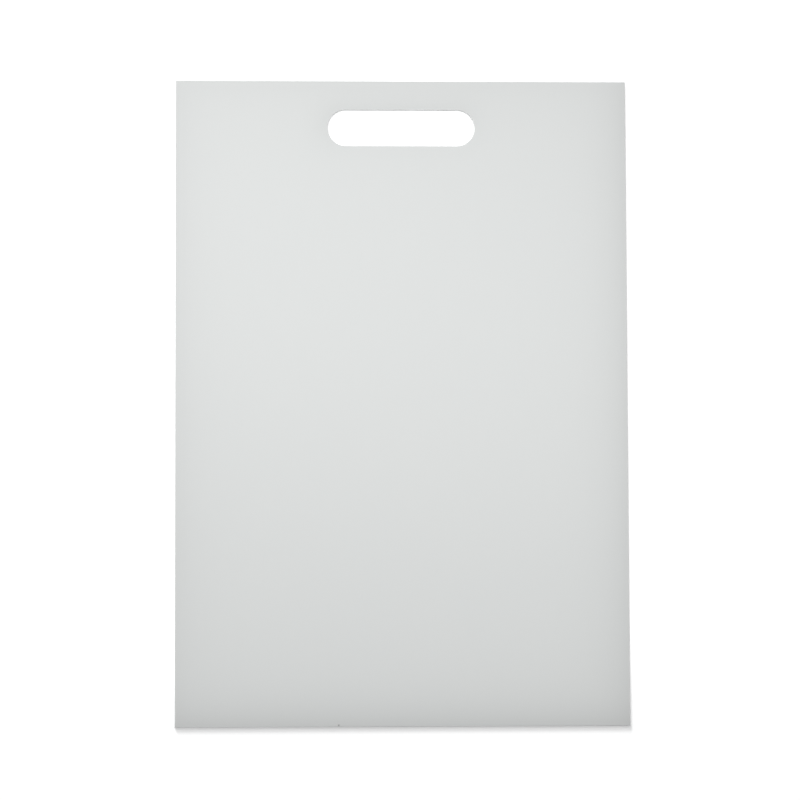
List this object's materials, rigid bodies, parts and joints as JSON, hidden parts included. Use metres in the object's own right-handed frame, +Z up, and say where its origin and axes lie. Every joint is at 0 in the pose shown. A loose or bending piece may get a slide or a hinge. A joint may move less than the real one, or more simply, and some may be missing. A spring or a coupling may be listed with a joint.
{
  "type": "flexible cutting mat",
  "caption": "Thin bendable kitchen cutting mat with a rounded hanging slot near one short edge, whose long sides curl up to make a chute.",
  "frame": {"origin": "centre of the underside, on the surface that the mat lies on", "axes": "+Z up out of the work face, +Y along the long side towards the hanging slot, +X along the short side"},
  "size_m": [0.238, 0.34, 0.002],
  "materials": {
    "white_plastic": "satin, finely grained"
  },
  "bodies": {
    "middle_strip": {"middle_strip": "white_plastic"},
    "left_bend_strip_1": {"left_bend_strip_1": "white_plastic"},
    "left_bend_strip_2": {"left_bend_strip_2": "white_plastic"},
    "left_bend_strip_3": {"left_bend_strip_3": "white_plastic"},
    "left_bend_strip_4": {"left_bend_strip_4": "white_plastic"},
    "left_bend_strip_5": {"left_bend_strip_5": "white_plastic"},
    "left_bend_strip_6": {"left_bend_strip_6": "white_plastic"},
    "left_bend_strip_7": {"left_bend_strip_7": "white_plastic"},
    "left_bend_strip_8": {"left_bend_strip_8": "white_plastic"},
    "left_bend_strip_9": {"left_bend_strip_9": "white_plastic"},
    "left_bend_strip_10": {"left_bend_strip_10": "white_plastic"},
    "left_bend_strip_11": {"left_bend_strip_11": "white_plastic"},
    "left_grip_edge": {"left_grip_edge": "white_plastic"},
    "right_bend_strip_1": {"right_bend_strip_1": "white_plastic"},
    "right_bend_strip_2": {"right_bend_strip_2": "white_plastic"},
    "right_bend_strip_3": {"right_bend_strip_3": "white_plastic"},
    "right_bend_strip_4": {"right_bend_strip_4": "white_plastic"},
    "right_bend_strip_5": {"right_bend_strip_5": "white_plastic"},
    "right_bend_strip_6": {"right_bend_strip_6": "white_plastic"},
    "right_bend_strip_7": {"right_bend_strip_7": "white_plastic"},
    "right_bend_strip_8": {"right_bend_strip_8": "white_plastic"},
    "right_bend_strip_9": {"right_bend_strip_9": "white_plastic"},
    "right_bend_strip_10": {"right_bend_strip_10": "white_plastic"},
    "right_bend_strip_11": {"right_bend_strip_11": "white_plastic"},
    "right_grip_edge": {"right_grip_edge": "white_plastic"}
  },
  "joints": [
    {"name": "left_bend_1", "type": "hinge", "parent": "middle_strip", "child": "left_bend_strip_1", "pos_m": [-0.004, 0, 0.002], "axis": [0, 1, 0], "range_deg": [0, 7.5], "stiffness_Nm_per_rad": 7.1},
    {"name": "left_bend_2", "type": "hinge", "parent": "left_bend_strip_1", "child": "left_bend_strip_2", "pos_m": [-0.012, 0, 0.002], "axis": [0, 1, 0], "range_deg": [0, 7.5], "stiffness_Nm_per_rad": 7.1},
    {"name": "left_bend_3", "type": "hinge", "parent": "left_bend_strip_2", "child": "left_bend_strip_3", "pos_m": [-0.02, 0, 0.002], "axis": [0, 1, 0], "range_deg": [0, 7.5], "stiffness_Nm_per_rad": 7.1},
    {"name": "left_bend_4", "type": "hinge", "parent": "left_bend_strip_3", "child": "left_bend_strip_4", "pos_m": [-0.028, 0, 0.002], "axis": [0, 1, 0], "range_deg": [0, 7.5], "stiffness_Nm_per_rad": 7.1},
    {"name": "left_bend_5", "type": "hinge", "parent": "left_bend_strip_4", "child": "left_bend_strip_5", "pos_m": [-0.036, 0, 0.002], "axis": [0, 1, 0], "range_deg": [0, 7.5], "stiffness_Nm_per_rad": 7.1},
    {"name": "left_bend_6", "type": "hinge", "parent": "left_bend_strip_5", "child": "left_bend_strip_6", "pos_m": [-0.044, 0, 0.002], "axis": [0, 1, 0], "range_deg": [0, 7.5], "stiffness_Nm_per_rad": 7.1},
    {"name": "left_bend_7", "type": "hinge", "parent": "left_bend_strip_6", "child": "left_bend_strip_7", "pos_m": [-0.052, 0, 0.002], "axis": [0, 1, 0], "range_deg": [0, 7.5], "stiffness_Nm_per_rad": 7.1},
    {"name": "left_bend_8", "type": "hinge", "parent": "left_bend_strip_7", "child": "left_bend_strip_8", "pos_m": [-0.06, 0, 0.002], "axis": [0, 1, 0], "range_deg": [0, 7.5], "stiffness_Nm_per_rad": 7.1},
    {"name": "left_bend_9", "type": "hinge", "parent": "left_bend_strip_8", "child": "left_bend_strip_9", "pos_m": [-0.068, 0, 0.002], "axis": [0, 1, 0], "range_deg": [0, 7.5], "stiffness_Nm_per_rad": 7.1},
    {"name": "left_bend_10", "type": "hinge", "parent": "left_bend_strip_9", "child": "left_bend_strip_10", "pos_m": [-0.076, 0, 0.002], "axis": [0, 1, 0], "range_deg": [0, 7.5], "stiffness_Nm_per_rad": 7.1},
    {"name": "left_bend_11", "type": "hinge", "parent": "left_bend_strip_10", "child": "left_bend_strip_11", "pos_m": [-0.084, 0, 0.002], "axis": [0, 1, 0], "range_deg": [0, 7.5], "stiffness_Nm_per_rad": 7.1},
    {"name": "left_bend_12", "type": "hinge", "parent": "left_bend_strip_11", "child": "left_grip_edge", "pos_m": [-0.092, 0, 0.002], "axis": [0, 1, 0], "range_deg": [0, 7.5], "stiffness_Nm_per_rad": 7.1},
    {"name": "right_bend_1", "type": "hinge", "parent": "middle_strip", "child": "right_bend_strip_1", "pos_m": [0.004, 0, 0.002], "axis": [0, -1, 0], "range_deg": [0, 7.5], "stiffness_Nm_per_rad": 7.1},
    {"name": "right_bend_2", "type": "hinge", "parent": "right_bend_strip_1", "child": "right_bend_strip_2", "pos_m": [0.012, 0, 0.002], "axis": [0, -1, 0], "range_deg": [0, 7.5], "stiffness_Nm_per_rad": 7.1},
    {"name": "right_bend_3", "type": "hinge", "parent": "right_bend_strip_2", "child": "right_bend_strip_3", "pos_m": [0.02, 0, 0.002], "axis": [0, -1, 0], "range_deg": [0, 7.5], "stiffness_Nm_per_rad": 7.1},
    {"name": "right_bend_4", "type": "hinge", "parent": "right_bend_strip_3", "child": "right_bend_strip_4", "pos_m": [0.028, 0, 0.002], "axis": [0, -1, 0], "range_deg": [0, 7.5], "stiffness_Nm_per_rad": 7.1},
    {"name": "right_bend_5", "type": "hinge", "parent": "right_bend_strip_4", "child": "right_bend_strip_5", "pos_m": [0.036, 0, 0.002], "axis": [0, -1, 0], "range_deg": [0, 7.5], "stiffness_Nm_per_rad": 7.1},
    {"name": "right_bend_6", "type": "hinge", "parent": "right_bend_strip_5", "child": "right_bend_strip_6", "pos_m": [0.044, 0, 0.002], "axis": [0, -1, 0], "range_deg": [0, 7.5], "stiffness_Nm_per_rad": 7.1},
    {"name": "right_bend_7", "type": "hinge", "parent": "right_bend_strip_6", "child": "right_bend_strip_7", "pos_m": [0.052, 0, 0.002], "axis": [0, -1, 0], "range_deg": [0, 7.5], "stiffness_Nm_per_rad": 7.1},
    {"name": "right_bend_8", "type": "hinge", "parent": "right_bend_strip_7", "child": "right_bend_strip_8", "pos_m": [0.06, 0, 0.002], "axis": [0, -1, 0], "range_deg": [0, 7.5], "stiffness_Nm_per_rad": 7.1},
    {"name": "right_bend_9", "type": "hinge", "parent": "right_bend_strip_8", "child": "right_bend_strip_9", "pos_m": [0.068, 0, 0.002], "axis": [0, -1, 0], "range_deg": [0, 7.5], "stiffness_Nm_per_rad": 7.1},
    {"name": "right_bend_10", "type": "hinge", "parent": "right_bend_strip_9", "child": "right_bend_strip_10", "pos_m": [0.076, 0, 0.002], "axis": [0, -1, 0], "range_deg": [0, 7.5], "stiffness_Nm_per_rad": 7.1},
    {"name": "right_bend_11", "type": "hinge", "parent": "right_bend_strip_10", "child": "right_bend_strip_11", "pos_m": [0.084, 0, 0.002], "axis": [0, -1, 0], "range_deg": [0, 7.5], "stiffness_Nm_per_rad": 7.1},
    {"name": "right_bend_12", "type": "hinge", "parent": "right_bend_strip_11", "child": "right_grip_edge", "pos_m": [0.092, 0, 0.002], "axis": [0, -1, 0], "range_deg": [0, 7.5], "stiffness_Nm_per_rad": 7.1}
  ],
  "couplings": [
    {"joint": "left_bend_2", "follows": "left_bend_1", "ratio": 1},
    {"joint": "left_bend_3", "follows": "left_bend_1", "ratio": 1},
    {"joint": "left_bend_4", "follows": "left_bend_1", "ratio": 1},
    {"joint": "left_bend_5", "follows": "left_bend_1", "ratio": 1},
    {"joint": "left_bend_6", "follows": "left_bend_1", "ratio": 1},
    {"joint": "left_bend_7", "follows": "left_bend_1", "ratio": 1},
    {"joint": "left_bend_8", "follows": "left_bend_1", "ratio": 1},
    {"joint": "left_bend_9", "follows": "left_bend_1", "ratio": 1},
    {"joint": "left_bend_10", "follows": "left_bend_1", "ratio": 1},
    {"joint": "left_bend_11", "follows": "left_bend_1", "ratio": 1},
    {"joint": "left_bend_12", "follows": "left_bend_1", "ratio": 1},
    {"joint": "right_bend_2", "follows": "right_bend_1", "ratio": 1},
    {"joint": "right_bend_3", "follows": "right_bend_1", "ratio": 1},
    {"joint": "right_bend_4", "follows": "right_bend_1", "ratio": 1},
    {"joint": "right_bend_5", "follows": "right_bend_1", "ratio": 1},
    {"joint": "right_bend_6", "follows": "right_bend_1", "ratio": 1},
    {"joint": "right_bend_7", "follows": "right_bend_1", "ratio": 1},
    {"joint": "right_bend_8", "follows": "right_bend_1", "ratio": 1},
    {"joint": "right_bend_9", "follows": "right_bend_1", "ratio": 1},
    {"joint": "right_bend_10", "follows": "right_bend_1", "ratio": 1},
    {"joint": "right_bend_11", "follows": "right_bend_1", "ratio": 1},
    {"joint": "right_bend_12", "follows": "right_bend_1", "ratio": 1}
  ]
}
